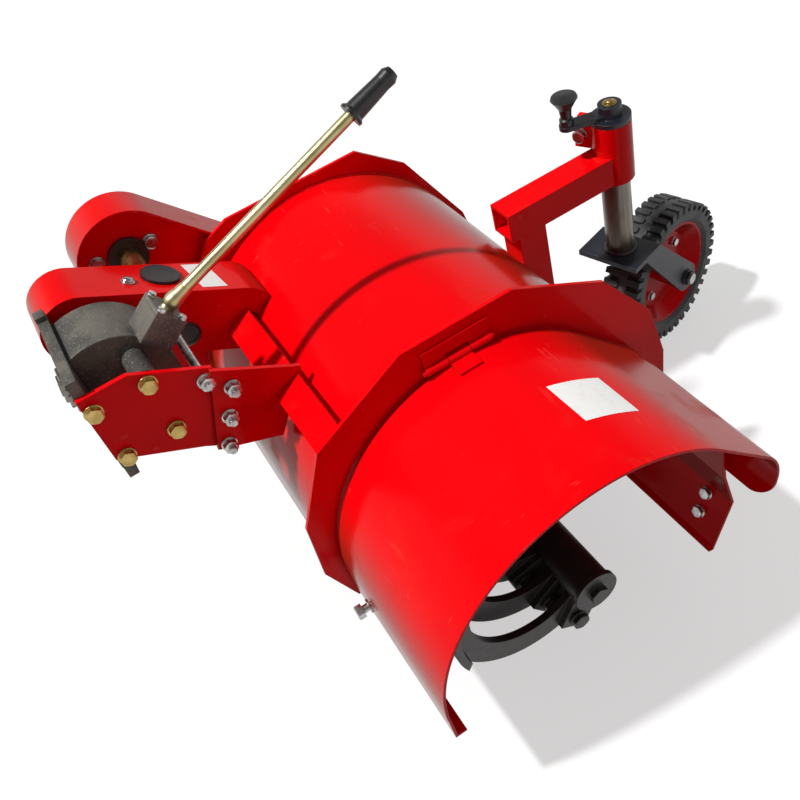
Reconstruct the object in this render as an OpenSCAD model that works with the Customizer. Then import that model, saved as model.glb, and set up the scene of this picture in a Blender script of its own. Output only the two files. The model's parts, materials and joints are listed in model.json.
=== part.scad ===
/* [Hood] */
// Length of the main hood over its end plates
hood_len = 386; // [320:1:480]
// Outer radius of the main hood
hood_r = 212; // [206:1:218]
// Height of the main hood's centre above the rotor axis
hood_rise = 20; // [14:1:24]
// Straight wall below the main hood's centre
hood_drop = 60; // [40:1:70]
// Thickness of the hood sheets
sheet_t = 3; // [2:0.5:4]
// Thickness of the end plates
plate_t = 5; // [4:0.5:8]
// Height of the end plates' top edge above the hood's radius
plate_rim = 35; // [33:1:40]

/* [Side hood] */
// Length of the hinged side hood
side_len = 226; // [180:1:260]
// Step from the main hood's radius in to the side hood's
side_step = 7; // [4:0.5:8]
// Gap between the near end plate and the side hood
side_gap = 5.5; // [5:0.5:8]
// Straight front wall of the side hood below the rotor axis
side_drop = 40; // [20:1:60]
// Length of the flat panel behind the side hood's arch
side_rear = 90; // [80:1:95]
// Fall of that panel from the level
side_rear_angle = 45; // [42:1:48]
// Radius of the curl under that panel
curl_r = 55; // [50:1:60]
// Length of the bolted rear skirt along the side hood
skirt_len = 168; // [100:1:180]
// Diameter of the hinge knuckles
hinge_d = 9; // [8:0.5:10]
// Length of one hinge knuckle
knuckle_len = 27; // [20:1:32]

/* [Rotor] */
// Outer diameter of the rotor tube
rotor_d = 46; // [42:1:50]
// Reach of the rotor past the near end plate
rotor_reach = 200; // [150:1:204]
// Space from the circle of the tine tips out to the hood's radius
tip_gap = 32; // [24:1:40]
// Number of tines along the rotor
tine_count = 16; // [16:16:16]
// Width of a tine's bar
tine_w = 28; // [22:1:32]
// Thickness of a tine's bar
tine_t = 9; // [7:1:11]
// Sideways reach of a tine's blade
blade_w = 26; // [18:1:32]

/* [Drive] */
// Width of the chain case
chain_w = 60; // [52:1:68]
// Radius of the chain case's round ends
chain_r = 65; // [60:1:70]
// Width of the gear arm
arm_w = 72; // [64:1:80]
// Height of the gear arm
arm_h = 84; // [78:1:90]
// Wall of the chain case and the gear arm
case_t = 3; // [2.5:0.5:6]
// Width of the gearbox over its flange
gearbox_w = 138; // [124:1:146]
// Radius of the gearbox's round top
gearbox_r = 70; // [67:1:74]
// Wall of the gearbox
gearbox_t = 6; // [5:0.5:8]
// Tip radius of the input gear
gear_r = 47; // [44:1:48]
// Number of teeth on the input gear
gear_teeth = 32; // [28:2:36]
// Face width of the input gear
gear_w = 26; // [18:1:34]
// Length of the shift lever's rod
lever_len = 275; // [200:1:300]
// Diameter of the shift lever's rod
lever_d = 13; // [10:1:15]
// Rise of the shift lever above the level
lever_angle = 21; // [15:1:28]

/* [Tail wheel] */
// Outer radius of the tyre over its lugs
tyre_r = 108; // [104:1:114]
// Width of the tyre
tyre_w = 58; // [50:1:62]
// Number of lugs in each row of the tread
lug_count = 40; // [20:4:48]
// Radius of the rim
rim_r = 79; // [74:1:82]
// Diameter of the sliding post
post_d = 39; // [36:1:42]
// Outer diameter of the sleeve
sleeve_d = 52; // [48:1:56]
// Side of the square tubes
tube_a = 40; // [36:1:44]
// Distance of the sliding post behind the rotor axis
post_y = 360; // [354:1:372]
// Distance of the axle behind the sliding post
trail = 92; // [86:1:98]
// Swivel of the fork about the sliding post
fork_swivel = 17; // [0:1:20]

/* [Hidden] */
$fn = 72;
// One overrun serves every cut
cut = 1;
// Running gap round shafts, pins and the sliding post, and under the skirt's strap
run_gap = 0.05;
// Gap under a piece that lies on a curved one
seat_gap = 0.3;
// Space that a moving piece keeps from its neighbours
clear = 6;

red = [0.8, 0.02, 0.03];
dark_red = [0.6, 0.01, 0.02];
black = [0.05, 0.05, 0.05];
iron = [0.16, 0.15, 0.14];
steel = [0.62, 0.6, 0.52];

// Radii that follow the main hood's
plate_top = hood_r + plate_rim;
side_r = hood_r - side_step;
tip_r = hood_r - tip_gap;
// Four tines stand lowest, two of them turned forward a little, and the wheel stands lower still
rest_turn = 13.5;
wheel_drop = 8;
tine_bend_share = 0.56;
tine_bend = tip_r * tine_bend_share;
rotor_h = tine_bend + (tip_r - tine_bend) * cos(rest_turn) + wheel_drop;
// Outer faces of the end plates lie at plus and minus half
half = hood_len / 2;
// Foot of the beam on the hood's front, in the rotor's frame as [y, z]
beam_stand = 31;
foot_angle = 137.5;
beam_foot = [for (c = [0, hood_rise] + (hood_r + beam_stand) * dir(foot_angle)) round(c)];
// Chain drive's shaft, gear, drum, arm, side plate and stud, as steps from that foot
drive_step = [-56, 73];
gear_step = [-143, 74];
drum_step = [-141, 67];
arm_step = [-147, 99];
side_plate_step = [-179, 31];
stud_step = [-58, 66];
drive = beam_foot + drive_step;
gear_c = beam_foot + gear_step;
drum_c = beam_foot + drum_step;
arm_front = beam_foot + arm_step;
side_plate_low = beam_foot + side_plate_step;
stud_c = beam_foot + stud_step;
// Reach of the whole part, for an origin on the ground under the middle of its box
axle_y = post_y + trail * cos(fork_swivel);
x_reach = [-half - chain_w, half + side_gap + side_len];
y_reach = [gear_c[0] - gear_r, axle_y + tyre_r * cos(fork_swivel) + tyre_w / 2 * sin(fork_swivel)];
origin = [-(x_reach[0] + x_reach[1]) / 2, -(y_reach[0] + y_reach[1]) / 2, rotor_h];

// Direction at an angle in the fore-and-aft plane
function dir(a) = [cos(a), sin(a)];

// Moves a piece from the rotor's frame to the ground frame
module place() { translate(origin) children(); }

// Lays a flat outline in the fore-and-aft plane, from x over a thickness t
module across(x, t) { translate([x, 0, 0]) rotate([90, 0, 90]) linear_extrude(t) children(); }

// Round bar along X at a centre c in the fore-and-aft plane
module bar_x(x, len, d, c = [0, 0]) { translate([x, c[0], c[1]]) rotate([0, 90, 0]) cylinder(d = d, h = len); }

// Block with two round ends of radius r, from x over a thickness t
module belt(x, t, c1, c2, r) {
    side = r * normal(c1, c2);
    bar_x(x, t, 2 * r, c1);
    bar_x(x, t, 2 * r, c2);
    across(x, t) polygon([c1 + side, c2 + side, c2 - side, c1 - side]);
}

// Side of a bent strip at its point i, a sheet's thickness off the path
function normal(a, b) = [a[1] - b[1], b[0] - a[0]] / norm(b - a);
function offset_end(p, n) = p + sheet_t * n;
function offset_bend(p, m, n) = p + sheet_t * (m + n) / (1 + m * n);
function offset_path(p) = let (last = len(p) - 1) [for (i = [last : -1 : 0])
    i == 0 ? offset_end(p[0], normal(p[0], p[1])) :
    i == last ? offset_end(p[last], normal(p[last - 1], p[last])) :
    offset_bend(p[i], normal(p[i - 1], p[i]), normal(p[i], p[i + 1]))];

// Half circle on two straight walls, open side down
module arch(r, drop) {
    intersection() {
        circle(r);
        translate([-r, 0]) square([2 * r, r]);
    }
    translate([-r, -drop]) square([2 * r, drop]);
}

// Main hood with its end plates and the beam across its front
module hood_solid(r, drop) { translate([0, hood_rise]) arch(r, drop); }
module main_hood() {
    color(red) place() across(plate_t - half, hood_len - 2 * plate_t) difference() {
        hood_solid(hood_r, hood_drop);
        hood_solid(hood_r - sheet_t, hood_drop + cut);
    }
}
near_shares = [[-0.83, -0.26], [-0.93, 0.02], [-0.91, 0.36], [-0.725, 0.745], [-0.25, 1], [0.315, 1],
               [0.775, 0.757], [1.02, 0.43], [1.09, 0.11], [1.08, -0.13], [0.9, -0.26]];
far_shares = [[-0.83, -0.26], [-0.93, 0.02], [-0.91, 0.36], [-0.725, 0.745], [-0.57, 0.94], [-0.43, 1],
              [0.36, 1], [0.62, 0.79], [0.9, 0.3], [0.95, 0.05], [0.9, -0.26]];
bore_d = rotor_d + 2 * clear;
module end_plate(x, shares) {
    across(x, plate_t) difference() {
        polygon(shares * plate_top);
        circle(d = bore_d);
    }
}
module end_plate_near() { color(red) place() end_plate(half - plate_t, near_shares); }
module end_plate_far() { color(red) place() end_plate(-half, far_shares); }

beam_w = 37;
beam_t = 6;
beam_angle = 27;
beam_up = dir(beam_angle);
beam_in = dir(beam_angle - 90);
beam_top = beam_foot + beam_w * beam_up;
module beam_outline() {
    polygon([beam_foot, beam_top, beam_top + beam_t * beam_in, beam_foot + beam_t * (beam_up + beam_in),
             beam_foot + beam_t * beam_up + hood_r * beam_in, beam_foot + hood_r * beam_in]);
}
module front_beam() {
    color(red) place() across(plate_t - half, hood_len - 2 * plate_t) difference() {
        beam_outline();
        hood_solid(hood_r, hood_drop);
        translate([-hood_r, -hood_r]) square([2 * hood_r, hood_r + hood_rise]);
    }
}

// Chain case outside the far plate, from the drive shaft down to the rotor's end
module chain_block(x, t, inset) { belt(x, t, drive, [0, 0], chain_r - inset); }
cover_recess = 10;
shaft_d = 28;
bearing_d = 52;
hub_wall = 10;
chain_x = -half - chain_w;
module chain_case() {
    color(red) place() difference() {
        union() {
            difference() {
                chain_block(chain_x, chain_w, 0);
                chain_block(chain_x + case_t, chain_w, case_t);
            }
            bar_x(chain_x, chain_w - cover_recess - case_t, rotor_d + 2 * hub_wall);
        }
        bar_x(chain_x + case_t, chain_w, rotor_d + 2 * run_gap);
    }
}
module chain_cover() {
    color(dark_red) place() difference() {
        chain_block(-half - cover_recess - case_t, case_t, case_t);
        bar_x(chain_x, chain_w, bearing_d, drive);
        bar_x(chain_x, chain_w, bore_d);
    }
}
module shaft_bearing() {
    color(black) place() difference() {
        bar_x(-half - cover_recess - case_t, case_t + cover_recess / 2, bearing_d, drive);
        bar_x(chain_x, chain_w, shaft_d, drive);
    }
}

// Gear arm: a round-fronted box from the gearbox back to the beam, hollow and open to the beam
arm_fall = -28.8;
arm_run = 196;
arm_x = -arm_w - gearbox_w / 2 + hub_wall / 2;
gearbox_x = arm_x + arm_w;
module arm_block(inset, run) {
    belt(arm_x + inset, arm_w - 2 * inset, arm_front, arm_front + run * dir(arm_fall), arm_h / 2 - inset);
}
module behind_beam() {
    polygon([beam_foot, beam_top, beam_top + hood_r * beam_in, beam_foot + hood_r * beam_in]);
    hood_solid(hood_r, hood_drop);
}
module gear_arm() {
    color(red) place() difference() {
        arm_block(0, arm_run);
        across(arm_x - cut, arm_w + 2 * cut) behind_beam();
        arm_block(case_t, arm_run);
    }
}
plug_d = 46;
plug_h = 3;
plug_run = 101;
plug_share = 0.43;
module oil_plug() {
    p = arm_front + plug_run * dir(arm_fall);
    color(black) place() translate([arm_x + arm_w * plug_share, p[0], p[1]]) rotate([arm_fall, 0, 0])
        translate([0, 0, arm_h / 2]) cylinder(d = plug_d, h = plug_h);
}
module cross_shaft() {
    color(steel) place() bar_x(chain_x + case_t, arm_x - chain_x - case_t, shaft_d, drive);
}

// Cast gearbox: a drum on a box, open at the front inside a flange, on a spigot at the arm and a boss at the plate
flange_t = 12;
flange_y = side_plate_low[0];
flange_steps = [-19, 109];
flange_z = [for (step = flange_steps) side_plate_low[1] + step];
drum_back = 45;
drum_drop = 73;
drum_inset = 46;
spigot_w = 18;
spigot_d = 50;
drum_x = gearbox_x + spigot_w;
drum_w = gearbox_w - spigot_w - drum_inset;
module drum(inset) {
    intersection() {
        union() {
            translate(drum_c) circle(gearbox_r - inset);
            translate([flange_y, drum_c[1] - drum_drop + inset])
                square([drum_c[0] + drum_back - inset - flange_y, drum_drop - inset]);
        }
        translate([flange_y + flange_t, 0]) square(hood_len);
    }
}
journal_d = 24;
boss_d = 26;
boss_step = [31, 32];
module gearbox_housing() {
    color(iron) place() difference() {
        union() {
            across(drum_x, drum_w) drum(0);
            bar_x(gearbox_x, spigot_w + gearbox_t / 2, spigot_d, drum_c);
            bar_x(drum_x + drum_w - gearbox_t / 2, drum_inset + gearbox_t / 2, boss_d, drum_c + boss_step);
        }
        across(drum_x + gearbox_t, drum_w - 2 * gearbox_t) union() {
            drum(gearbox_t);
            translate([flange_y, gear_c[1] - gear_r]) square([flange_t + cut, 2 * gear_r]);
        }
        bar_x(drum_x, drum_w, journal_d + 2 * run_gap, gear_c);
    }
}
flange_rim = 9;
bolt_d = 11;
bolt_inset = 10;
module gearbox_flange() {
    rise = flange_z[1] - flange_z[0];
    color(iron) place() translate([gearbox_x, flange_y, flange_z[0]]) difference() {
        cube([gearbox_w, flange_t, rise]);
        translate([spigot_w + gearbox_t, -cut, flange_rim])
            cube([drum_w - 2 * gearbox_t, flange_t + 2 * cut, rise - 2 * flange_rim]);
        for (x = [bolt_inset, gearbox_w - bolt_inset], z = [bolt_inset, rise - bolt_inset])
            translate([x, -cut, z]) rotate([-90, 0, 0]) cylinder(d = bolt_d, h = flange_t + 2 * cut);
    }
}
tooth_h = 7;
tooth_root_share = 0.36;
tooth_tip_share = 0.18;
web_share = 0.35;
module input_gear() {
    pitch = 2 * PI * gear_r / gear_teeth;
    root = gear_r - tooth_h;
    x = drum_x + (drum_w - gear_w) / 2;
    web_d = 2 * (root - 2 * tooth_h);
    web_in = gear_w * web_share;
    color(steel) place() union() {
        difference() {
            across(x, gear_w) translate(gear_c) union() {
                circle(root);
                for (i = [0 : gear_teeth - 1]) rotate(180 + i * 360 / gear_teeth)
                    polygon([[root - tooth_h, -tooth_root_share * pitch], [gear_r, -tooth_tip_share * pitch],
                             [gear_r, tooth_tip_share * pitch], [root - tooth_h, tooth_root_share * pitch]]);
            }
            bar_x(x - cut, web_in + cut, web_d, gear_c);
            bar_x(x + gear_w - web_in, web_in + cut, web_d, gear_c);
        }
        bar_x(drum_x + cut, drum_w - 2 * cut, journal_d, gear_c);
    }
}

// Shift box on the drum's shoulder, with its cover, lever and grip
box_w = 44;
box_h = 35;
box_angle = 36;
box_from = 50;
box_to = 102;
box_x = 22;
lid_t = 5;
module on_shoulder() { translate([box_x, drum_c[0], drum_c[1]]) rotate([box_angle, 0, 0]) children(); }
module shoulder_block(from, to) { translate([-box_w / 2, from, -box_h / 2]) cube([box_w, to - from, box_h]); }
module shift_box() {
    color(iron) place() difference() {
        on_shoulder() shoulder_block(box_from, box_to);
        across(gearbox_x, gearbox_w) drum(0);
        across(gearbox_x, gearbox_w) translate(drum_c) translate([-hood_r, -hood_r]) square(hood_r);
    }
}
module shift_cover() { color(iron) place() on_shoulder() shoulder_block(box_to, box_to + lid_t); }
lever_foot = drum_c + (box_to + lid_t) * dir(box_angle);
module lever_axis() {
    translate([box_x, lever_foot[0], lever_foot[1]]) rotate([lever_angle - 90, 0, 0]) children();
}
module shift_lever() {
    color(steel) place() difference() {
        lever_axis() translate([0, 0, -lever_d]) cylinder(d = lever_d, h = lever_len + lever_d);
        on_shoulder() shoulder_block(0, box_to + lid_t);
    }
}
grip_len = 62;
grip_d = 23;
grip_shares = [[0, 0], [0.62, 0], [0.62, 0.05], [0.5, 0.1], [0.42, 0.75], [0.44, 0.9], [0.3, 1], [0, 1]];
module lever_grip() {
    color(black) place() lever_axis() translate([0, 0, lever_len])
        rotate_extrude() polygon([for (p = grip_shares) [p[0] * grip_d, p[1] * grip_len]]);
}

// Side plate bolted on the gearbox, its bracket on the beam, and the stud across to the arm
side_plate_t = 6;
side_plate_x = gearbox_x + gearbox_w;
side_plate_h = 89;
side_plate_shares = [[0, 0], [0, 1], [0.62, 1], [1.5, 0.51], [1.05, -0.56], [0.2, -0.1]];
bracket_shares = [[1.45, 0.53], [2.46, -0.09], [1.89, -0.96], [1.08, -0.62]];
module plate_outline(shares) { translate(side_plate_low) polygon(shares * side_plate_h); }
module side_plate() {
    color(dark_red) place() across(side_plate_x, side_plate_t) plate_outline(side_plate_shares);
}
module bracket_plate() {
    color(dark_red) place() across(side_plate_x + side_plate_t, side_plate_t) difference() {
        plate_outline(bracket_shares);
        behind_beam();
    }
}
stud_d = 10;
module tie_stud() { color(steel) place() bar_x(gearbox_x, gearbox_w, stud_d, stud_c); }

// Rotor: a tube with sockets, each holding a tine that bends round like a C
rotor_x = chain_x + case_t + cut;
socket_w = 26;
socket_h = 34;
socket_out = 64;
socket_bolt_d = 14;
socket_bolt_t = 6;
socket_side = socket_w / 2 + socket_bolt_t;
housing_t = 16;
// Tines inside the hood, then those past the near plate and its bearing
inner_count = 10;
inner_x = [plate_t + clear + socket_side - half, half - plate_t - clear - blade_w];
outer_x = [half + housing_t + clear + socket_side, half + rotor_reach - socket_side];
pair_turns = [112.5, 0, 180, 22.5, 270];
outer_from = 123.75;
outer_turn = 22.5;
function row_x(x, i, count) = x[0] + i * (x[1] - x[0]) / (count - 1);
function tine_x(i) = i < inner_count ? row_x(inner_x, i, inner_count)
                                     : row_x(outer_x, i - inner_count, tine_count - inner_count);
// Inner tines stand in pairs about the middle, outer ones follow each other along a screw
function tine_turn(i) = i < inner_count
    ? pair_turns[min(i, inner_count - 1 - i)] - rest_turn
    : outer_from + (i - inner_count) * outer_turn;
module tine() {
    c = [0, tine_bend - tip_r];
    axis_z = c[1] + tine_bend - tine_w / 2;
    across(-tine_t / 2, tine_t) translate(c) difference() {
        circle(tine_bend);
        circle(tine_bend - tine_w);
        translate([-2 * tine_bend, -2 * tine_bend]) square([2 * tine_bend, 4 * tine_bend]);
    }
    across(-tine_t / 2, blade_w) translate(c) difference() {
        circle(tine_bend);
        circle(tine_bend - tine_t);
        translate([-2 * tine_bend, -2 * tine_bend]) square([2 * tine_bend, 4 * tine_bend]);
        translate([-tine_bend, -tine_bend * tine_bend_share]) square(4 * tine_bend);
    }
    translate([-socket_w / 2, 0, axis_z - socket_h / 2]) cube([socket_w, socket_out, socket_h]);
    bar_x(-socket_w / 2 - socket_bolt_t, socket_w + 2 * socket_bolt_t, socket_bolt_d,
          [socket_out - socket_bolt_d, axis_z]);
}
module rotor_reel() {
    color(black) place() union() {
        bar_x(rotor_x, half + rotor_reach - rotor_x, rotor_d);
        for (i = [0 : tine_count - 1]) translate([tine_x(i), 0, 0]) rotate([tine_turn(i), 0, 0]) tine();
    }
}
cap_t = 6;
cap_bolt_d = 22;
module rotor_cap() {
    color(black) place() union() {
        bar_x(half + rotor_reach, cap_t, rotor_d + clear);
        translate([half + rotor_reach + cap_t, 0, 0]) rotate([0, 90, 0])
            cylinder(d = cap_bolt_d, h = cap_t + cut, $fn = 6);
    }
}
module rotor_bearing() {
    color(iron) place() difference() {
        union() {
            bar_x(half - plate_t, plate_t, bore_d);
            bar_x(half, housing_t, bore_d + 4 * clear);
        }
        bar_x(half - plate_t - cut, plate_t + housing_t + 2 * cut, rotor_d + 2 * run_gap);
    }
}

// Side hood: an arch with a straight front wall, a flat rear panel, a curl under it and a rounded corner
side_x = half + side_gap;
panel_out = dir(90 - side_rear_angle);
panel_down = dir(-side_rear_angle);
curl_end = (side_r - curl_r) * panel_out + (side_rear + curl_r) * panel_down;
corner_r = 25;
lip_w = 14;
front_step = 0.5;
module side_sheet() {
    difference() {
        intersection() {
            circle(side_r);
            translate([-side_r, 0]) square([2 * side_r, side_r]);
        }
        circle(side_r - sheet_t);
    }
    translate([side_r - sheet_t, -side_rear]) square([sheet_t, side_rear]);
    translate([side_r - curl_r, -side_rear]) difference() {
        intersection() {
            circle(curl_r);
            translate([0, -curl_r]) square(curl_r);
        }
        circle(curl_r - sheet_t);
    }
}
module side_hood() {
    color(red) place() difference() {
        union() {
            across(side_x, side_len) difference() {
                rotate(90 - side_rear_angle) side_sheet();
                translate([-2 * side_r, -2 * side_r]) square(2 * side_r);
            }
            across(side_x, side_len) translate([front_step - side_r, -side_drop])
                polygon([[0, side_drop], [0, 0], [lip_w, 0], [lip_w, sheet_t], [sheet_t, sheet_t],
                         [sheet_t, side_drop]]);
        }
        translate([side_x + side_len, curl_end[0], curl_end[1]]) rotate([-90 - side_rear_angle, 0, 0])
            translate([-corner_r, -corner_r, -corner_r]) linear_extrude(2 * corner_r) difference() {
                square(corner_r + cut);
                circle(corner_r);
            }
    }
}
// Skirt bolted inside the flat panel: a strap on the panel, then bends past the curl, out, in and a lip
skirt_top = 40;
skirt_bend = 75;
skirt_pass_step = [-8.6, 1.5];
skirt_mid_step = [4.4, -56];
skirt_low_step = [-25.6, -127.5];
skirt_lip_step = [-33, -125.5];
skirt_from = 8;
module side_skirt() {
    inner = (side_r - sheet_t - run_gap) * panel_out;
    path = [curl_end + skirt_lip_step, curl_end + skirt_low_step, curl_end + skirt_mid_step,
            curl_end + skirt_pass_step, inner + skirt_bend * panel_down, inner + skirt_top * panel_down];
    color(dark_red) place() across(side_x + skirt_from, skirt_len) polygon(concat(path, offset_path(path)));
}

// Hinge along the top of the side hood: outer knuckles on the plate, the middle one on the hood
pin_d = 5;
leaf_t = 3;
leaf_w = 24;
knuckle_gap = 0.6;
pin_head = 4;
pin_x = half + hinge_d / 2 + cut / 2;
pin_z = side_r + hinge_d / 2 + cut / 2;
function knuckle_y(i) = (i - 3 / 2) * (knuckle_len + knuckle_gap) + knuckle_gap / 2;
module on_pin(y) { translate([pin_x, y, pin_z]) rotate([-90, 0, 0]) children(); }
module knuckle(i) { on_pin(knuckle_y(i)) cylinder(d = hinge_d, h = knuckle_len); }
module pin_bore() { on_pin(-2 * knuckle_len) cylinder(d = pin_d + 2 * run_gap, h = 4 * knuckle_len); }
module hinge_fixed() {
    color(red) place() difference() {
        union() {
            for (i = [0, 2]) {
                knuckle(i);
                translate([half, knuckle_y(i), pin_z]) cube([leaf_t, knuckle_len, leaf_w]);
            }
            translate([half, knuckle_y(0), pin_z + hinge_d])
                cube([leaf_t, 3 * knuckle_len + 2 * knuckle_gap, leaf_w - hinge_d]);
        }
        pin_bore();
    }
}
module hinge_moving() {
    color(red) place() difference() {
        union() {
            knuckle(1);
            translate([pin_x, knuckle_y(1), side_r - leaf_t]) cube([leaf_w, knuckle_len, 2 * leaf_t]);
        }
        pin_bore();
        across(half, side_len) circle(side_r + seat_gap);
    }
}
module hinge_pin() {
    color(steel) place() on_pin(knuckle_y(0) - pin_head) cylinder(d = pin_d, h = 3 * knuckle_len + 2 * pin_head);
}

// Tail wheel carrier: mast on the hood, beam to the rear, split sleeve
tube_t = 4;
mast_lap = 19;
mast_y = hood_r - mast_lap;
mast_low = 40;
beam_z = 152;
beam_lap = 30;
beam_y = hood_r - beam_lap;
sleeve_z = [150, 233];
module wheel_mast() {
    color(dark_red) place() difference() {
        translate([-tube_a / 2, mast_y, mast_low]) cube([tube_a, tube_a, beam_z - mast_low]);
        translate([tube_t - tube_a / 2, mast_y + tube_t, mast_low - cut])
            cube([tube_a - 2 * tube_t, tube_a - 2 * tube_t, beam_z - mast_low + 2 * cut]);
        across(-tube_a, 2 * tube_a) hood_solid(hood_r, hood_drop);
    }
}
module wheel_beam() {
    color(red) place() difference() {
        translate([-tube_a / 2, beam_y, beam_z]) cube([tube_a, post_y - beam_y, tube_a]);
        translate([tube_t - tube_a / 2, beam_y - cut, beam_z + tube_t])
            cube([tube_a - 2 * tube_t, post_y, tube_a - 2 * tube_t]);
        translate([0, post_y, 0]) cylinder(d = sleeve_d, h = sleeve_z[1]);
    }
}
ear_angle = 205;
ear_w = 20;
ear_out = 22;
ear_step = 2;
slot_w = 4;
module post_sleeve() {
    rise = sleeve_z[1] - sleeve_z[0];
    ear_h = sleeve_z[1] - ear_step - beam_z - tube_a - cut;
    color(dark_red) place() translate([0, post_y, sleeve_z[0]]) difference() {
        union() {
            cylinder(d = sleeve_d, h = rise);
            rotate([0, 0, ear_angle]) translate([0, -ear_w / 2, rise - ear_step - ear_h])
                cube([sleeve_d / 2 + ear_out, ear_w, ear_h]);
        }
        translate([0, 0, -cut]) cylinder(d = post_d + 2 * run_gap, h = rise + 2 * cut);
        rotate([0, 0, ear_angle]) translate([0, -slot_w / 2, -cut]) cube([sleeve_d, slot_w, rise + 2 * cut]);
    }
}

// Crank on the post's top: a cap disc, a hub, a flat arm and a trumpet knob
crank_t = 6;
crank_hub_d = 30;
crank_hub_h = 16;
crank_len = 56;
crank_w = 20;
crank_angle = 252;
cap_gap = 0.5;
module on_crank() { translate([0, post_y, sleeve_z[1] + cap_gap]) children(); }
module crank() {
    color(black) place() on_crank() union() {
        cylinder(d = sleeve_d, h = crank_t);
        translate([0, 0, crank_t]) cylinder(d = crank_hub_d, h = crank_hub_h);
        rotate([0, 0, crank_angle]) translate([0, -crank_w / 2, crank_t]) cube([crank_len, crank_w, crank_t]);
        rotate([0, 0, crank_angle]) translate([crank_len, 0, crank_t]) cylinder(d = crank_w, h = crank_t);
    }
}
knob_d = 34;
knob_h = 40;
knob_shares = [[0, 0], [0.26, 0], [0.26, 0.2], [0.2, 0.25], [0.24, 0.55], [0.42, 0.8], [0.5, 0.9], [0.46, 0.97],
               [0, 1]];
module crank_knob() {
    color(black) place() on_crank() rotate([0, 0, crank_angle]) translate([crank_len, 0, 2 * crank_t])
        rotate_extrude() polygon([for (p = knob_shares) [p[0] * knob_d, p[1] * knob_h]]);
}

// Sliding post, fork, axle and wheel, all swivelled together about the post
axle_z = tyre_r - rotor_h;
fork_rise = 110;
fork_z = round(axle_z + fork_rise);
fork_t = 8;
fork_half = tyre_w / 2 + 10;
fork_front = -34;
fork_rear = 26;
leg_r = 22;
axle_d = 16;
leg_turn = 32;
axle_c = [trail, axle_z];
module swivel() { translate([0, post_y, 0]) rotate([0, 0, fork_swivel]) children(); }
module sliding_post() {
    color(steel) place() translate([0, post_y, fork_z])
        cylinder(d = post_d, h = sleeve_z[1] + cap_gap - fork_z);
}
module leg_outline() {
    translate(axle_c) circle(leg_r);
    side = leg_r * dir(leg_turn);
    polygon([[-fork_rear / 2, fork_z], [fork_rear, fork_z], axle_c + side, axle_c - side]);
}
module wheel_fork() {
    color(black) place() swivel() difference() {
        union() {
            translate([-fork_half - fork_t, fork_front, fork_z - fork_t])
                cube([2 * (fork_half + fork_t), fork_rear - fork_front, fork_t]);
            across(-fork_half - fork_t, fork_t) leg_outline();
            across(fork_half, fork_t) leg_outline();
        }
        bar_x(-2 * fork_half, 4 * fork_half, axle_d, axle_c);
    }
}
nut_t = 10;
module wheel_axle() {
    color(steel) place() swivel()
        bar_x(-fork_half - fork_t - nut_t, 2 * (fork_half + fork_t + nut_t), axle_d, axle_c);
}
hub_d = 38;
hub_half = fork_half - clear;
disc_t = 4;
seat_share = 0.42;
dish_share = 0.74;
module on_axle() { swivel() translate([0, trail, axle_z]) rotate([0, 90, 0]) children(); }
module wheel_rim() {
    bore = axle_d / 2 + run_gap;
    seat = tyre_w * seat_share;
    dish = rim_r * dish_share;
    color(red) place() on_axle() rotate_extrude()
        polygon([[bore, -hub_half], [hub_d / 2, -hub_half], [hub_d / 2, -disc_t], [dish, -disc_t],
                 [rim_r - disc_t, -seat], [rim_r, -seat], [rim_r, seat], [rim_r - disc_t, seat],
                 [dish, disc_t], [hub_d / 2, disc_t], [hub_d / 2, hub_half], [bore, hub_half]]);
}
lug_h = 6;
lug_share = 0.27;
band_share = 0.1;
rib_share = 0.13;
bead = 6;
module tyre() {
    w = tyre_w / 2;
    base = tyre_r - lug_h;
    rib = tyre_w * rib_share;
    pitch = 360 / lug_count;
    lug_len = 2 * PI * base / lug_count * lug_share * 2;
    color(black) place() on_axle() union() {
        rotate_extrude() polygon([[rim_r, -tyre_w * seat_share], [rim_r + bead, -w], [base - bead, -w],
                                  [base, bead - w], [base, -rib], [base + lug_h / 2, -rib],
                                  [base + lug_h / 2, rib], [base, rib], [base, w - bead], [base - bead, w],
                                  [rim_r + bead, w], [rim_r, tyre_w * seat_share]]);
        for (i = [0 : lug_count - 1]) {
            rotate([0, 0, i * pitch]) translate([base - lug_h, -lug_len / 2, tyre_w * band_share])
                cube([2 * lug_h, lug_len, w - tyre_w * band_share]);
            rotate([0, 0, (i + 1 / 2) * pitch]) translate([base - lug_h, -lug_len / 2, -w])
                cube([2 * lug_h, lug_len, w - tyre_w * band_share]);
        }
    }
}

main_hood();
end_plate_near();
end_plate_far();
front_beam();
chain_case();
chain_cover();
shaft_bearing();
gear_arm();
oil_plug();
cross_shaft();
gearbox_housing();
gearbox_flange();
input_gear();
shift_box();
shift_cover();
shift_lever();
lever_grip();
side_plate();
bracket_plate();
tie_stud();
rotor_bearing();
hinge_fixed();
hinge_pin();
side_hood();
side_skirt();
hinge_moving();
rotor_reel();
rotor_cap();
wheel_mast();
wheel_beam();
post_sleeve();
crank();
crank_knob();
sliding_post();
wheel_fork();
wheel_axle();
wheel_rim();
tyre();
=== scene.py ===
import json
import math

import bpy
import numpy as np
from mathutils import Matrix, Vector


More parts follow.
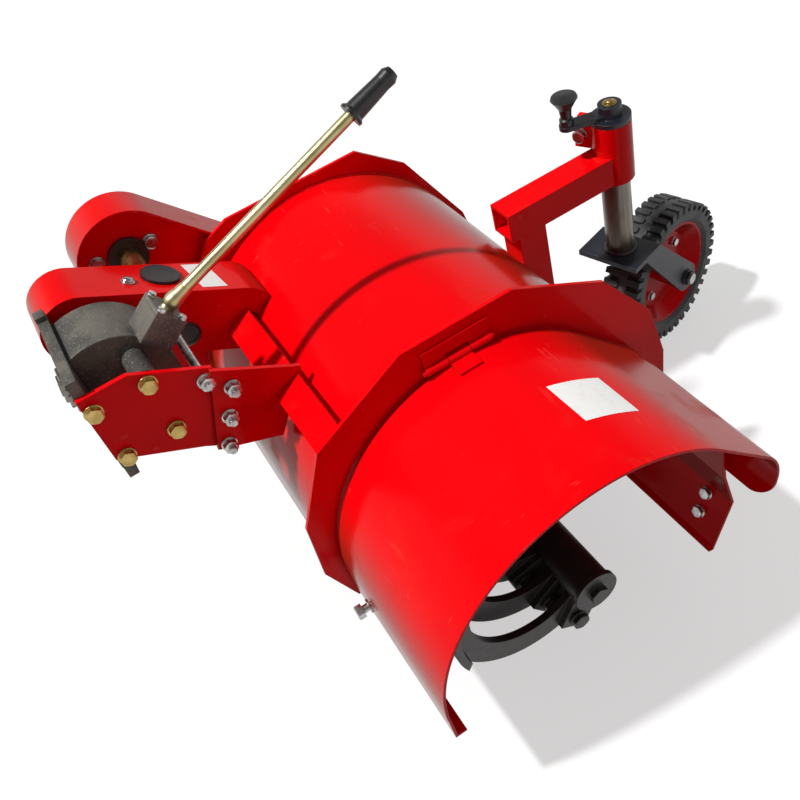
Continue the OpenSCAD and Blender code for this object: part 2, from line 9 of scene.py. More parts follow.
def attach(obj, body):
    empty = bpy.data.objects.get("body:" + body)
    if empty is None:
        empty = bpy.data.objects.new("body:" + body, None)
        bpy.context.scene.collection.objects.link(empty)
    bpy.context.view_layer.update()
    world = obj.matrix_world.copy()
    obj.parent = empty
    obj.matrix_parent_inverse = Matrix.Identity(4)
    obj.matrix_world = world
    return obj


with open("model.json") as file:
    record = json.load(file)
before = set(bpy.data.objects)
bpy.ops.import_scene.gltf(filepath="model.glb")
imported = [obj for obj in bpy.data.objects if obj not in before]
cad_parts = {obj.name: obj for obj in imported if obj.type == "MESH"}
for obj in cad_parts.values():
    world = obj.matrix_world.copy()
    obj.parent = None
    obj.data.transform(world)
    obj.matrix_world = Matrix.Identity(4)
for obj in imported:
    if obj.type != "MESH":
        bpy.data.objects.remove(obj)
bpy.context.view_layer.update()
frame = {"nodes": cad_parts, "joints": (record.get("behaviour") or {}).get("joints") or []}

# Main hood, end plates and front beam
# The hood is one rolled sheet welded between two chamfered end plates, with a bent bar across its front.
# All of it is sprayed with a thick glossy red enamel, which yard work has scuffed and dusted.
joints = {j["name"]: j for j in frame["joints"]}
rotor_axis = np.array(joints["rotor_spin"]["pos_m"])


def spot(x, y, z):
    """A point given in millimetres from the middle of the hood on the rotor axis, in the frame's metres."""
    return rotor_axis + np.array((x, y, z)) / 1000


class Wire:
    """A shader socket that adds the Math nodes of an expression, so that materials read as formulas."""

    def __init__(self, tree, socket):
        self.tree = tree
        self.socket = socket

    def node(self, kind, settings=None, out=0, **inputs):
        """Add a node of a kind with its settings first, then its inputs by name; return one output."""
        made = self.tree.nodes.new(kind)
        for name, value in (settings or {}).items():
            setattr(made, name, value)
        for name, value in inputs.items():
            key = int(name[1:]) if name[0] == "i" and name[1:].isdigit() else name.replace("_", " ")
            self.feed(made.inputs[key], value)
        return Wire(self.tree, made.outputs[out])

    def feed(self, socket, value):
        """Link a wire to a socket or set a plain value there."""
        if isinstance(value, Wire):
            self.tree.links.new(value.socket, socket)
        else:
            socket.default_value = value

    def math(self, operation, other=0.0):
        return self.node("ShaderNodeMath", {"operation": operation}, i0=self, i1=other)

    def __add__(self, other):
        return self.math("ADD", other)

    def __radd__(self, other):
        return self.math("ADD", other)

    def __sub__(self, other):
        return self.math("SUBTRACT", other)

    def __rsub__(self, other):
        return self.node("ShaderNodeMath", {"operation": "SUBTRACT"}, i0=other, i1=self)

    def __mul__(self, other):
        return self.math("MULTIPLY", other)

    def __rmul__(self, other):
        return self.math("MULTIPLY", other)

    def step(self, low, high):
        """0 below low, 1 above high, and smooth between them."""
        return self.node("ShaderNodeMapRange", {"interpolation_type": "SMOOTHSTEP"}, i0=self, i1=low, i2=high)

    def noise(self, scale, detail=3.0, stretch=(1, 1, 1)):
        """Noise on the piece's own coordinates, finer where stretch is larger."""
        place = self.node("ShaderNodeMapping", Vector=self, Scale=stretch)
        return self.node("ShaderNodeTexNoise", Vector=place, Scale=scale, Detail=detail)

    def mix(self, first, second):
        """Blend two colours by this wire."""
        return self.node("ShaderNodeMix", {"data_type": "RGBA"}, 2, i0=self, i6=first, i7=second)


def finish(name, make):
    """A material whose make(place, shader) fills the shader's sockets; place is the Object coordinate."""
    material = bpy.data.materials.new(name)
    material.use_nodes = True
    tree = material.node_tree
    shader = tree.nodes["Principled BSDF"]
    coordinate = tree.nodes.new("ShaderNodeTexCoord")
    place = Wire(tree, coordinate.outputs["Object"])
    make(place, lambda socket, value: place.feed(shader.inputs[socket], value))
    return material


def soft_edge(place, radius):
    """The normal rounded over the edges."""
    return place.node("ShaderNodeBevel", {"samples": 4}, Radius=radius)


def worn_edge(place, radius):
    """The normal rounded over the edges, and 1 on sharp edges fading to 0 within the radius."""
    rounded = soft_edge(place, radius)
    flat = place.node("ShaderNodeNewGeometry", out=1)
    return rounded, 1 - place.node("ShaderNodeVectorMath", {"operation": "DOT_PRODUCT"}, 1, i0=rounded, i1=flat)


def red_enamel(place, shader):
    """Red with slow shifts of tone, pale hair scuffs in two directions, brown dust and chipped edges. A painted brown
    reflection of the ground darkens it towards glancing angles."""
    rounded, edge = worn_edge(place, 0.0012)
    tone = place.noise(5, 2)
    rub = place.noise(26, 4, (1, 6, 6)).step(0.60, 0.74) * place.noise(7, 3).step(0.52, 0.66)
    scratch = place.noise(60, 2, (7, 1, 1)).step(0.70, 0.76) * place.noise(9, 2).step(0.5, 0.62)
    grime = place.noise(14, 5).step(0.58, 0.78)
    red = tone.step(0.3, 0.7).mix((0.88, 0.001, 0.004, 1), (0.78, 0.0005, 0.003, 1))
    red = (rub * 0.20 + scratch * 0.25).mix(red, (0.90, 0.14, 0.10, 1))
    red = (grime * 0.10).mix(red, (0.30, 0.08, 0.04, 1))
    red = (edge.step(0.10, 0.3) * place.noise(90, 3).step(0.5, 0.62) * 0.6).mix(red, (0.16, 0.03, 0.02, 1))
    # Painted reflection: the base colour turns brown towards glancing angles, where the ground would be mirrored.
    painted_glance_reflection = place.node("ShaderNodeLayerWeight", out=1, Blend=0.5)
    shader("Base Color", (painted_glance_reflection.step(0.45, 0.95) * 0.8).mix(red, (0.15, 0.032, 0.012, 1)))
    shader("Roughness", 0.20 + rub * 0.30 + grime * 0.22 + scratch * 0.2)
    shader("IOR", 1.14)
    shader("Coat Weight", 0.05)
    shader("Coat IOR", 1.35)
    shader("Coat Roughness", 0.05)
    peel = place.noise(320, 2)
    shader("Normal", place.node("ShaderNodeBump", Strength=0.06, Distance=0.0006, Height=peel, Normal=rounded))


def paint(material, *names):
    """Put a material on CAD nodes."""
    for name in names:
        mesh = frame["nodes"][name].data
        mesh.materials.clear()
        mesh.materials.append(material)


def skin(name, grids, material, body="frame", closed=True, capped=True):
    """One mesh of point grids, given in millimetres from the hood's middle on the rotor axis. Each point joins the
    next along both parameters, the second wraps round when closed, and the end rings are filled when capped."""
    grids = np.array(grids, float)
    grids = grids.reshape(-1, *grids.shape[-3:])
    index = np.arange(grids[..., 0].size).reshape(grids.shape[:3])
    first, last = index[:, 0, ::-1], index[:, -1]
    if closed:
        index = np.concatenate((index, index[..., :1]), 2)
    quads = np.stack((index[:, :-1, :-1], index[:, :-1, 1:], index[:, 1:, 1:], index[:, 1:, :-1]), -1)
    faces = quads.reshape(-1, 4).tolist()
    if capped:
        faces += first.tolist() + last.tolist()
    sharp_angle = math.radians(32)
    mesh = bpy.data.meshes.new(name)
    mesh.from_pydata((rotor_axis + grids.reshape(-1, 3) / 1000).tolist(), [], faces)
    mesh.set_sharp_from_angle(angle=sharp_angle)
    mesh.materials.append(material)
    piece = bpy.data.objects.new(name, mesh)
    bpy.context.collection.objects.link(piece)
    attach(piece, body)


def unit(vector):
    """The same direction with a length of 1, for one vector or a row of them."""
    vector = np.array(vector, float)
    return vector / np.linalg.norm(vector, axis=-1, keepdims=True)


def swept(path, section):
    """A closed section carried along a path: each point is the path's, plus the section's first number along the
    side that leans to the near side, plus its second along the cross of the path's direction and that side. The
    section may differ from row to row."""
    near = np.array((1, 0, 0))
    along = unit(np.gradient(path, axis=0))
    side = unit(near - along * (along @ near)[:, None])
    across = np.cross(along, side)
    section = np.broadcast_to(section, (len(path), *np.shape(section)[-2:]))
    return path[:, None] + section[..., :1] * side[:, None] + section[..., 1:] * across[:, None]


def circle(radius, sides):
    """Points of a circle, as two numbers each."""
    angle = 2 * np.pi * np.arange(sides) / sides
    return radius * np.stack((np.cos(angle), np.sin(angle)), -1)


def weld(path, radius):
    """A bead along a path whose radius swells with each drop of the weld and with the hand's pace: 1 plus a share of
    a short sine of the length and of a long one."""
    drop, drop_share, pace, pace_share, sides = 4.2, 0.12, 31, 0.08, 8
    run = np.concatenate(([0], np.cumsum(np.linalg.norm(np.diff(path, axis=0), axis=1))))
    swell = 1 + drop_share * np.sin(2 * np.pi * run / drop) + pace_share * np.sin(2 * np.pi * run / pace)
    return swept(path, circle(radius, sides)[None] * swell[:, None, None])


def arc(x, radius, start, end, centre):
    """Points of a circle across the machine at x, from one angle to another in degrees from the rear."""
    step = 1.2
    count = int(abs(math.radians(end - start)) * radius / step) + 2
    angle = np.radians(np.linspace(start, end, count))
    return np.stack((np.full(count, x), centre[0] + radius * np.cos(angle), centre[1] + radius * np.sin(angle)), -1)


enamel = finish("red_enamel", red_enamel)
paint(enamel, "main_hood", "end_plate_near", "end_plate_far", "front_beam")
hood_radius, hood_rise, hood_half, plate_wall = 212, 20, 193, 5
seam_start, seam_end, bead_radius = -8, 188, 2.6
seams = [arc(side * (hood_half - plate_wall), hood_radius, seam_start, seam_end, (0, hood_rise)) for side in (-1, 1)]
skin("hood_weld", [weld(seam, bead_radius) for seam in seams], enamel)

# Chain case on the far side
# Two pressed steel halves make a long box with round ends, which holds the drive chain; its lid is bolted inside the
# rim, and the drive shaft's bearing shows in the lid. Zinc plated hexagon bolts hold it.
paint(enamel, "chain_case", "chain_cover")


def turned(places, axis, rings, sides=24):
    """Rings round an axis at each place. A ring has a radius, a height along the axis, and how far it is a hexagon,
    from 0 to 1. A hexagon's radius is the half width over flats, over the cosine of the angle from the nearest
    flat."""
    places, axis = np.atleast_2d(np.array(places, float)), unit(axis)
    side = unit(np.cross(axis, (0, 0, 1) if abs(axis[2]) < 0.9 else (1, 0, 0)))
    angle = 2 * np.pi * np.arange(sides) / sides
    corner = 1 / np.cos((angle + np.pi / 6) % (np.pi / 3) - np.pi / 6)
    radius, height, hexagon = np.array(rings, float).T[..., None]
    radius = radius * (1 + hexagon * (corner - 1))
    ring = np.cos(angle)[:, None] * side + np.sin(angle)[:, None] * np.cross(axis, side)
    return places[:, None, None] + radius[..., None] * ring + height[..., None] * axis


def washer_rings(flat, washer):
    """A washer with a small bevel, whose thickness is a share of the bolt's half width over flats."""
    seat, bevel = 0.26 * flat, 0.4
    return [(washer, 0, 0), (washer, seat * 0.8, 0), (washer - bevel, seat, 0), (flat, seat, 1)]


def bolt_rings(flat, head, washer):
    """A hexagon head with rounded corners on its washer; flat is half the width over flats."""
    seated = washer_rings(flat, washer)
    seat = seated[-1][1]
    return seated + [(flat, seat + head * 0.84, 1), (flat * 1.04, seat + head * 0.92, 0.5),
                     (flat * 0.93, seat + head, 0), (flat * 0.6, seat + head, 0)]


def nut_rings(flat, height, washer, stud, proud):
    """A hexagon nut on its washer, with the end of its stud standing out."""
    seated = washer_rings(flat, washer)
    top, bevel = seated[-1][1] + height, 1
    return seated + [(flat, top - height * 0.14, 1), (flat * 1.04, top - height * 0.06, 0.5), (flat * 0.92, top, 0),
                     (stud, top, 0), (stud, top + proud - bevel, 0), (stud - bevel, top + proud, 0)]


def bright_zinc(place, shader):
    """Silver plating, cloudy, with darker spots where it is handled."""
    cloud = place.noise(140, 3)
    shader("Base Color", cloud.step(0.35, 0.7).mix((0.36, 0.36, 0.36, 1), (0.56, 0.56, 0.55, 1)))
    shader("Metallic", 1.0)
    shader("Roughness", 0.18 + place.noise(260, 3) * 0.22)
    shader("Normal", soft_edge(place, 0.0008))


def yellow_zinc(place, shader):
    """Yellow plating with cloudy olive and brown tints."""
    cloud = place.noise(110, 3)
    tint = cloud.step(0.3, 0.7).mix((0.36, 0.25, 0.08, 1), (0.52, 0.38, 0.14, 1))
    shader("Base Color", (place.noise(300, 2).step(0.6, 0.75) * 0.5).mix(tint, (0.20, 0.13, 0.05, 1)))
    shader("Metallic", 1.0)
    shader("Roughness", 0.24 + cloud * 0.2)
    shader("Normal", soft_edge(place, 0.0008))


silver = finish("bright_zinc", bright_zinc)
gold = finish("yellow_zinc", yellow_zinc)
near_side, lid_face = (1, 0, 0), -203
lid_spots = [(lid_face, y, z) for y, z in ((-202, 262), (-273, 267))]
skin("lid_bolts", turned(lid_spots, near_side, bolt_rings(flat=8, head=6, washer=10)), silver)

# Gear arm
# A folded steel box with a round front carries the drive from the gearbox back to the beam. A black plug closes its
# oil filler, a screw its level hole, and a cap its shaft bore.
paint(enamel, "gear_arm")
arm_front, arm_fall, arm_half, arm_near = np.array((-326, 283)), math.radians(-28.8), 42, -64
arm_along = np.array((0, math.cos(arm_fall), math.sin(arm_fall)))
arm_up = np.array((0, -math.sin(arm_fall), math.cos(arm_fall)))


def on_arm(x, run):
    """A point on the arm's top, so far across the machine and so far along the arm from its round front."""
    return np.array((x, *arm_front)) + arm_half * arm_up + run * arm_along


screw_rings = [(8, 0, 0), (8, 1.5, 0), (6.5, 1.6, 0), (6.4, 3.4, 0), (5.4, 4.8, 0), (3.2, 5.6, 0), (1, 5.8, 0)]
skin("level_screw", turned(on_arm(x=-94, run=60), arm_up, screw_rings), silver)


def moulded_black(place, shader):
    """Matte black plastic with a fine moulded grain and pale rubbed spots."""
    rub = place.noise(50, 4).step(0.55, 0.75)
    shader("Base Color", (rub * 0.5).mix((0.010, 0.010, 0.011, 1), (0.035, 0.035, 0.036, 1)))
    shader("Roughness", 0.38 + rub * 0.2)
    shader("Normal", place.node("ShaderNodeBump", Strength=0.1, Distance=0.0005, Height=place.noise(500, 2)))


plastic = finish("moulded_black", moulded_black)
paint(plastic, "oil_plug")
dish_rings = [(23.2, 0, 0), (23.2, 3.4, 0), (22.4, 4, 0), (20.5, 4, 0), (14, 3.3, 0), (7, 3.1, 0), (1, 3.05, 0)]
skin("plug_dish", turned(on_arm(x=-105, run=101), arm_up, dish_rings, sides=40), plastic)
bore = (arm_near, -223, 209)
cap_rings = [(16, 0, 0), (16, 2.2, 0), (14.5, 3, 0), (12, 3, 0), (11, 2, 0), (3, 2, 0)]
skin("bore_cap", turned(bore, near_side, cap_rings, sides=32), plastic)


def blank_film(place, shader):
    """White film, slightly yellowed and scuffed."""
    scuff = place.noise(120, 4).step(0.5, 0.75)
    shader("Base Color", (scuff * 0.3).mix((0.86, 0.86, 0.84, 1), (0.68, 0.66, 0.62, 1)))
    shader("Roughness", 0.3 + scuff * 0.3)


film = finish("blank_film", blank_film)
u, v = np.meshgrid(np.linspace(0, 1, 9), np.linspace(0, 1, 9), indexing="ij")
patch_wide, patch_skew, patch_long, patch_lift = 59, 8, 31, 0.25
patch_across = np.array((patch_wide, 0, 0)) + patch_skew * arm_along
arm_patch = (on_arm(x=-131, run=134) + u[..., None] * patch_across + v[..., None] * patch_long * arm_along
             + patch_lift * arm_up)
skin("arm_patch", arm_patch, film, closed=False, capped=False)


def slab(corners, start, end):
    """A flat plate across the machine: an outline of corners to the rear and up, from one x to the other."""
    corners = np.array(corners, float)
    return np.stack([np.insert(corners, 0, x, axis=1) for x in (start, end)])


web_shape = ((80, -42.3), (80, -62), (150, -72), (150, -42.3))
web = [arm_front + run * arm_along[1:] + rise * arm_up[1:] for run, rise in web_shape]
skin("arm_web", slab(web, start=-72, end=-67), enamel)

# Gearbox
# Grey iron cast in sand, open at the front inside a machined flange where the tractor's drive meets the gear.
# Speckled grainy skin with oily dark hollows and bright rubbed edges.


def sand_cast_iron(place, shader):
    """Brown black grain with lighter speckles, over a coarse bump."""
    rounded, edge = worn_edge(place, 0.003)
    grain = place.noise(420, 3)
    patch = place.noise(24, 4)
    colour = patch.step(0.35, 0.65).mix((0.060, 0.057, 0.052, 1), (0.15, 0.135, 0.112, 1))
    colour = (grain.step(0.56, 0.7) * 0.6).mix(colour, (0.30, 0.27, 0.22, 1))
    colour = (edge.step(0.08, 0.3) * 0.4).mix(colour, (0.20, 0.18, 0.15, 1))
    shader("Base Color", colour)
    shader("Metallic", 0.2)
    shader("Roughness", 0.42 + grain * 0.25)
    shader("Normal", place.node("ShaderNodeBump", Strength=0.5, Distance=0.0012, Height=grain, Normal=rounded))


iron = finish("sand_cast_iron", sand_cast_iron)
paint(iron, "gearbox_housing", "gearbox_flange")
lug_front, lug_back, lug_wide = -357.8, -346.2, 15
lugs = [slab([(lug_front, low), (lug_back, low), (lug_back, high), (lug_front, high)], start, start + lug_wide)
        for start, low, high in ((-63.5, 318, 330), (56, 176, 204))]
skin("flange_lugs", lugs, iron)


def bare_steel(place, shader):
    """Grey drawn steel with long upright streaks and faint rust."""
    streak = place.noise(90, 3, (1, 1, 0.06))
    rust = place.noise(30, 4).step(0.56, 0.74)
    colour = streak.step(0.3, 0.7).mix((0.11, 0.10, 0.085, 1), (0.25, 0.23, 0.19, 1))
    shader("Base Color", (rust * 0.4).mix(colour, (0.16, 0.11, 0.07, 1)))
    shader("Metallic", 0.85)
    shader("Roughness", 0.26 + streak * 0.16 + rust * 0.2)


steel = finish("bare_steel", bare_steel)
paint(steel, "input_gear")
gear_middle, gear_teeth, tooth_root, tooth_tip = np.array((-322, 258)), 32, 46, 52
tooth_radius = np.tile((tooth_root, tooth_tip, tooth_tip, tooth_root), gear_teeth)
tooth_ring = gear_middle + tooth_radius[:, None] * circle(1, len(tooth_radius))
skin("gear_teeth", slab(tooth_ring, start=-20, end=2), steel, "gear")
paint(gold, "cross_shaft")

# Shift box, lever and grip
# A cast iron box with a bolted lid sits on the drum's shoulder. Its lever is a zinc plated rod that swells where it
# leaves the lid, with a moulded plastic grip.
paint(iron, "shift_box", "shift_cover")
box_x, drum_centre, lid_run, box_rise = 22, np.array((-320, 251)), 107, math.radians(36)
box_out = np.array((0, math.cos(box_rise), math.sin(box_rise)))
box_side = np.array((0, -math.sin(box_rise), math.cos(box_rise)))
lid_middle = np.array((box_x, *drum_centre)) + lid_run * box_out
lid_across, lid_along = 17, 12.5
shift_spots = [lid_middle + np.array((x * lid_across, 0, 0)) + z * lid_along * box_side
               for x in (-1, 1) for z in (-1, 1)]
shift_bolt = bolt_rings(flat=4.2, head=3.6, washer=5)
skin("shift_lid_bolts", turned(shift_spots, box_out, shift_bolt), silver)


def pale_zinc(place, shader):
    """Straw coloured plating with soft streaks along the rod."""
    streak = place.noise(120, 3, (1, 0.1, 0.2))
    tint = streak.step(0.3, 0.7).mix((0.40, 0.35, 0.17, 1), (0.58, 0.52, 0.29, 1))
    shader("Base Color", (place.noise(40, 3).step(0.55, 0.75) * 0.35).mix(tint, (0.26, 0.21, 0.09, 1)))
    shader("Metallic", 1.0)
    shader("Roughness", 0.28 + streak * 0.18)
    shader("Normal", soft_edge(place, 0.0008))


straw = finish("pale_zinc", pale_zinc)
paint(straw, "shift_lever")
lever_rise = math.radians(21)
lever_along = np.array((0, math.cos(lever_rise), math.sin(lever_rise)))
joint_rings = [(7, 2, 0), (8.6, 5, 0), (9.6, 9, 0), (9.4, 15, 0), (8, 20, 0), (7.6, 27, 0), (6.8, 30, 0),
               (6, 30.2, 0)]
skin("lever_joint", turned(lid_middle, lever_along, joint_rings), straw)
paint(plastic, "lever_grip")

# Side plate and bracket
# Two red plates carry the gearbox on the beam: yellow plated bolts through the plate into the casting, silver nuts on
# the bracket's studs, and a long stud across to the arm.
paint(enamel, "side_plate", "bracket_plate")
paint(silver, "tie_stud")
plate_face, bracket_face = 80, 86
lap = [(-271, 168), (-259, 160), (-238, 205), (-256, 205)]
skin("plate_lap", slab(lap, start=74.2, end=79.6), enamel)
casting_spots = [(plate_face, y, z) for y, z in ((-349, 284), (-289, 283), (-288, 213), (-346, 214))]
casting_bolt = bolt_rings(flat=8.2, head=7, washer=10.5)
skin("casting_bolts", turned(casting_spots, near_side, casting_bolt), gold)
tie_end = (plate_face, -237, 250)
tie_nut = nut_rings(flat=7.6, height=8, washer=10, stud=4.6, proud=4)
skin("tie_nut", turned(tie_end, near_side, tie_nut), silver)
bracket_studs = [(bracket_face, y, z) for y, z in ((-216, 230), (-233, 196), (-248, 161))]
bracket_nut = nut_rings(flat=7.6, height=8, washer=9.6, stud=4.8, proud=6)
skin("bracket_nuts", turned(bracket_studs, near_side, bracket_nut), silver)

# Rotor
# A steel tube turns in a cast bearing. Forged tines sit in sockets welded on it, each held by a bolt through its
# socket, all dipped in black paint.


def satin_black(deep, rubbed):
    """Satin black of one tone with spots rubbed to another."""
    def coat(place, shader):
        rounded, edge = worn_edge(place, 0.0015)
        patch = place.noise(30, 4).step(0.5, 0.75)
        colour = (patch * 0.5).mix(deep, rubbed)
        shader("Base Color", (edge.step(0.1, 0.3) * 0.3).mix(colour, (0.10, 0.08, 0.07, 1)))
        shader("Roughness", 0.34 + place.noise(120, 3) * 0.2)
        shader("Normal", place.node("ShaderNodeBump", Strength=0.15, Distance=0.001, Height=place.noise(150, 2),
                                    Normal=rounded))
    return coat


black = finish("black_paint", satin_black((0.016, 0.012, 0.011, 1), (0.040, 0.030, 0.026, 1)))
paint(black, "rotor_reel", "rotor_cap", "shaft_bearing")
paint(iron, "rotor_bearing")
inner_tines, outer_tines = 10, 6
tine_x = np.concatenate((np.linspace(-163, 156, inner_tines), np.linspace(234, 374, outer_tines)))
pair_turns, rest_turn, outer_from, outer_turn = np.array((112.5, 0, 180, 22.5, 270)), 13.5, 123.75, 22.5
row = np.arange(inner_tines)
inner_angle = pair_turns[np.minimum(row, inner_tines - 1 - row)] - rest_turn
outer_angle = outer_from + outer_turn * np.arange(outer_tines)
tine_turn = np.radians(np.concatenate((inner_angle, outer_angle)))
bolt_out, bolt_low, socket_half = 50, 7.6, 13.5
bolt_y = bolt_out * np.cos(tine_turn) - bolt_low * np.sin(tine_turn)
bolt_z = bolt_out * np.sin(tine_turn) + bolt_low * np.cos(tine_turn)
socket_bolt = bolt_rings(flat=9, head=6, washer=11)
for side, name in ((1, "near"), (-1, "far")):
    ends = np.stack((tine_x + side * socket_half, bolt_y, bolt_z), -1)
    skin("socket_bolts_" + name, turned(ends, (side, 0, 0), socket_bolt), black, "rotor")

# Side hood and its hinge
# A rolled steel sheet in red enamel hangs on a three knuckle hinge at the near end plate. A bent skirt with two rows
# of bolts stands inside its rear panel, and a long bolt stands out at its front.
paint(enamel, "hinge_fixed", "hinge_moving", "hinge_pin", "side_hood", "side_skirt")
stop_spot, front_side = (240, -204.5, -28), (0, -1, 0)
stop_rings = [(9, 0, 0), (9, 2, 0), (5, 2, 0), (5, 9, 0), (7.5, 9, 1), (7.5, 17, 1), (6.8, 18, 0), (4, 18, 0)]
skin("stop_bolt", turned(stop_spot, front_side, stop_rings), silver, "side_cover")
skirt_in = unit((0, -0.92, 0.39))
skirt_spots = [(x, y, z) for x in (340, 222) for y, z in ((205, -63.4), (193.7, -90.4))]
skirt_bolt = bolt_rings(flat=6.5, head=5, washer=8)
skin("skirt_bolts", turned(skirt_spots, skirt_in, skirt_bolt), silver, "side_cover")
u, v = np.meshgrid(np.linspace(0, 1, 5), np.linspace(0, 1, 25), indexing="ij")


def between(first, second, third, fourth):
    """A value that goes straight between the patch's corners: each weighs by u and v, and by what they leave to 1."""
    return (1 - u) * ((1 - v) * first + v * second) + u * ((1 - v) * fourth + v * third)


patch_radius = 205.3
patch_x = between(289.5, 297.7, 358.4, 350.7)
patch_angle = np.radians(between(77.75, 60.96, 60.4, 77.2))
hood_patch = np.stack((patch_x, patch_radius * np.cos(patch_angle), patch_radius * np.sin(patch_angle)), -1)
skin("hood_patch", hood_patch, film, "side_cover", closed=False, capped=False)

# Tail wheel carrier
# Red square tubes welded into an angle hold a split sleeve, and a bolt through the sleeve's ears clamps the post in
# it. The post is a bare steel tube with a black crank on its cap.
paint(enamel, "wheel_mast", "wheel_beam", "post_sleeve")
paint(steel, "sliding_post")
# Black paint tinted blue for the fork and crank: the blue tint is painted shade, the cool cast of shadow on them.
shade_tinted_black = finish("shade_tinted_black_paint", satin_black((0.006, 0.009, 0.017, 1), (0.024, 0.026, 0.032, 1)))
paint(shade_tinted_black, "crank")
paint(plastic, "crank_knob")
post_y, up_side = 360, (0, 0, 1)


def on_post(z):
    """The point of the post's axis at a height over the rotor axis."""
    return np.array((0, post_y, z))


ear_angle, ear_run, ear_half, clamp_z = math.radians(205), 38, 10, 212
ear_out = np.array((math.cos(ear_angle), math.sin(ear_angle), 0))
ear_side = np.array((-math.sin(ear_angle), math.cos(ear_angle), 0))
clamp_middle = on_post(clamp_z) + ear_run * ear_out
clamp_bolt = bolt_rings(flat=8, head=7, washer=10)
skin("clamp_bolt", turned(clamp_middle + ear_half * ear_side, ear_side, clamp_bolt), silver)
clamp_nut = nut_rings(flat=8, height=7, washer=10, stud=5, proud=5)
skin("clamp_nut", turned(clamp_middle - ear_half * ear_side, -ear_side, clamp_nut), silver)
screw_rings = [(9, 0, 0), (9, 1, 0), (7, 1.4, 0), (5, 1.4, 0), (5, 3.5, 0), (3.6, 4.4, 0)]
skin("crank_screw", turned(on_post(z=255.5), up_side, screw_rings), gold, "wheel_leg")
bead_rings = [(23.5, 0, 0), (23.2, 1.6, 0), (21.8, 3.2, 0), (19.6, 3.8, 0)]
skin("post_weld", turned(on_post(z=32), up_side, bead_rings, sides=48), black, "wheel_leg")
tie_rings = [(20, 0, 0), (21.4, 0, 0), (21.4, 2, 0), (20, 2, 0), (20, 0, 0)]
skin("sleeve_tie", turned(on_post(z=147), up_side, tie_rings, sides=48), plastic, capped=False)

# Fork, tail wheel and tyre
# A bent steel plate fork, painted black, carries a dished red wheel on a plain axle with a nut at each end. Small
# bolts hold the wheel's halves, and the tyre is solid rubber with ribs.
paint(shade_tinted_black, "wheel_fork")
paint(silver, "wheel_axle")
paint(enamel, "wheel_rim")


def tyre_rubber(place, shader):
    """Black rubber with pale dust."""
    rounded, edge = worn_edge(place, 0.002)
    dust = place.noise(40, 4).step(0.45, 0.75)
    colour = (dust * 0.6).mix((0.014, 0.014, 0.016, 1), (0.12, 0.115, 0.11, 1))
    shader("Base Color", (edge.step(0.1, 0.4) * 0.3).mix(colour, (0.16, 0.16, 0.155, 1)))
    shader("Roughness", 0.55 + dust * 0.25)
    shader("Normal", place.node("ShaderNodeBump", Strength=0.2, Distance=0.001, Height=place.noise(260, 3),
                                Normal=rounded))


paint(finish("tyre_rubber", tyre_rubber), "tyre")
swivel, trail, axle_z = math.radians(17), 92, -77.8
axle_side = np.array((math.cos(swivel), math.sin(swivel), 0))
axle_back = np.array((-math.sin(swivel), math.cos(swivel), 0))
axle_middle = on_post(axle_z) + trail * axle_back
spokes, ring_radius, rim_face = np.radians((40, 130, 220, 310)), 44, 4
ring = np.cos(spokes)[:, None] * axle_back + np.sin(spokes)[:, None] * np.array(up_side)
rim_spots = axle_middle + ring_radius * ring + rim_face * axle_side
rim_bolt = bolt_rings(flat=5.5, head=4.5, washer=7)
skin("rim_bolts", turned(rim_spots, axle_side, rim_bolt), silver, "tail_wheel")
nut_out = 47.2
axle_nut = [(12.5, 0, 0), (12.5, 1.6, 0), (10, 1.6, 1), (10, 7, 1), (9.2, 7.8, 0), (8.2, 7.8, 0)]
for side, name in ((1, "near"), (-1, "far")):
    nut_spot = axle_middle + side * nut_out * axle_side
    skin("axle_nut_" + name, turned(nut_spot, side * axle_side, axle_nut), black, "wheel_leg")

# Stage: a pale floor, a soft sun from the front and far side, and the camera
# The camera stands high on the near side of the front and is rolled, so that the machine leans left.
floor_half = 12.0
floor_mesh = bpy.data.meshes.new("floor")
floor_mesh.from_pydata([(-floor_half, -floor_half, 0), (floor_half, -floor_half, 0), (floor_half, floor_half, 0),
                        (-floor_half, floor_half, 0)], [], [(0, 1, 2, 3)])
floor = bpy.data.objects.new("floor", floor_mesh)
bpy.context.collection.objects.link(floor)


def seen(place):
    """1 for the rays on which the background shows: the camera's, mirrored and transmitted ones."""
    rays = ("Is Camera Ray", "Is Glossy Ray", "Is Transmission Ray")
    return sum(place.node("ShaderNodeLightPath", out=name) for name in rays).step(0.0, 1.0)


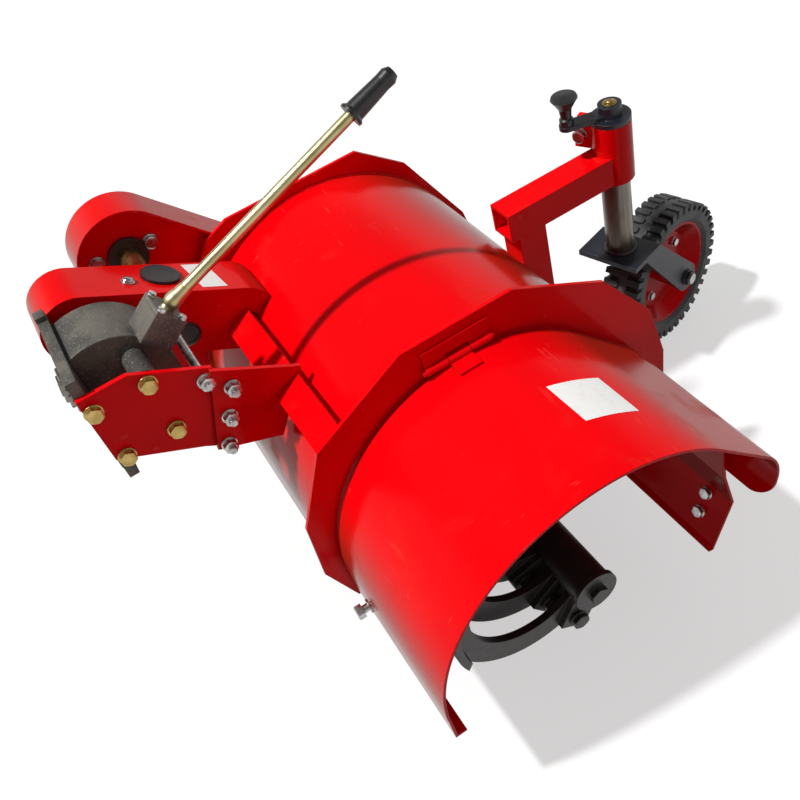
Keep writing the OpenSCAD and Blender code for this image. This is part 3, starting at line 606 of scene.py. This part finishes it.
def pale_floor(place, shader):
    """White with a soft shadow where it shows, and a greyer ground for the light that it throws back."""
    view = seen(place)
    shader("Base Color", view.mix((0.20, 0.20, 0.20, 1), (0.40, 0.40, 0.40, 1)))
    shader("Emission Color", view.mix((0, 0, 0, 1), (0.56, 0.56, 0.56, 1)))
    shader("Emission Strength", 1.0)
    shader("Specular IOR Level", 0.0)
    shader("Roughness", 0.9)


floor_mesh.materials.append(finish("pale_floor", pale_floor))

world = bpy.data.worlds.new("studio")
bpy.context.scene.world = world
world.use_nodes = True
sky = Wire(world.node_tree, world.node_tree.nodes.new("ShaderNodeTexCoord").outputs["Generated"])
height = sky.node("ShaderNodeSeparateXYZ", out=2, Vector=sky)
light = height.step(0.0, 0.6).mix((0.11, 0.10, 0.09, 1), (0.34, 0.33, 0.32, 1))
backdrop = height.step(0.25, 0.5).mix((1, 1, 1, 1), (0.26, 0.25, 0.24, 1))
sky.feed(world.node_tree.nodes["Background"].inputs["Color"], seen(sky).mix(light, backdrop))

sun_data = bpy.data.lights.new("sun", "SUN")
sun_data.energy = 3.3
sun_data.angle = math.radians(3)
sun = bpy.data.objects.new("sun", sun_data)
sun_from = Vector((-0.14, -0.5, 1.0))
sun.rotation_euler = sun_from.to_track_quat("Z", "Y").to_euler()
bpy.context.collection.objects.link(sun)

image_px, focal_px, film_mm = 800, 914.42, 36
azimuth, elevation, roll = math.radians(73.83), math.radians(44.81), math.radians(19.17)
forward = Vector((-math.sin(azimuth) * math.cos(elevation), math.cos(azimuth) * math.cos(elevation),
                  -math.sin(elevation)))
level = Vector((math.cos(azimuth), math.sin(azimuth), 0))
down = forward.cross(level)
right = math.cos(roll) * level + math.sin(roll) * down
up = math.sin(roll) * level - math.cos(roll) * down
camera_data = bpy.data.cameras.new("camera")
camera_data.sensor_fit = "HORIZONTAL"
camera_data.sensor_width = film_mm
camera_data.lens = focal_px / image_px * film_mm
camera = bpy.data.objects.new("camera", camera_data)
turn = Matrix((right, up, -forward)).transposed().to_4x4()
eye = Vector(spot(845.5, -264.9, 866.1))
camera.matrix_world = Matrix.Translation(eye) @ turn
bpy.context.collection.objects.link(camera)
bpy.context.scene.camera = camera
bpy.context.scene.view_settings.view_transform = "Standard"
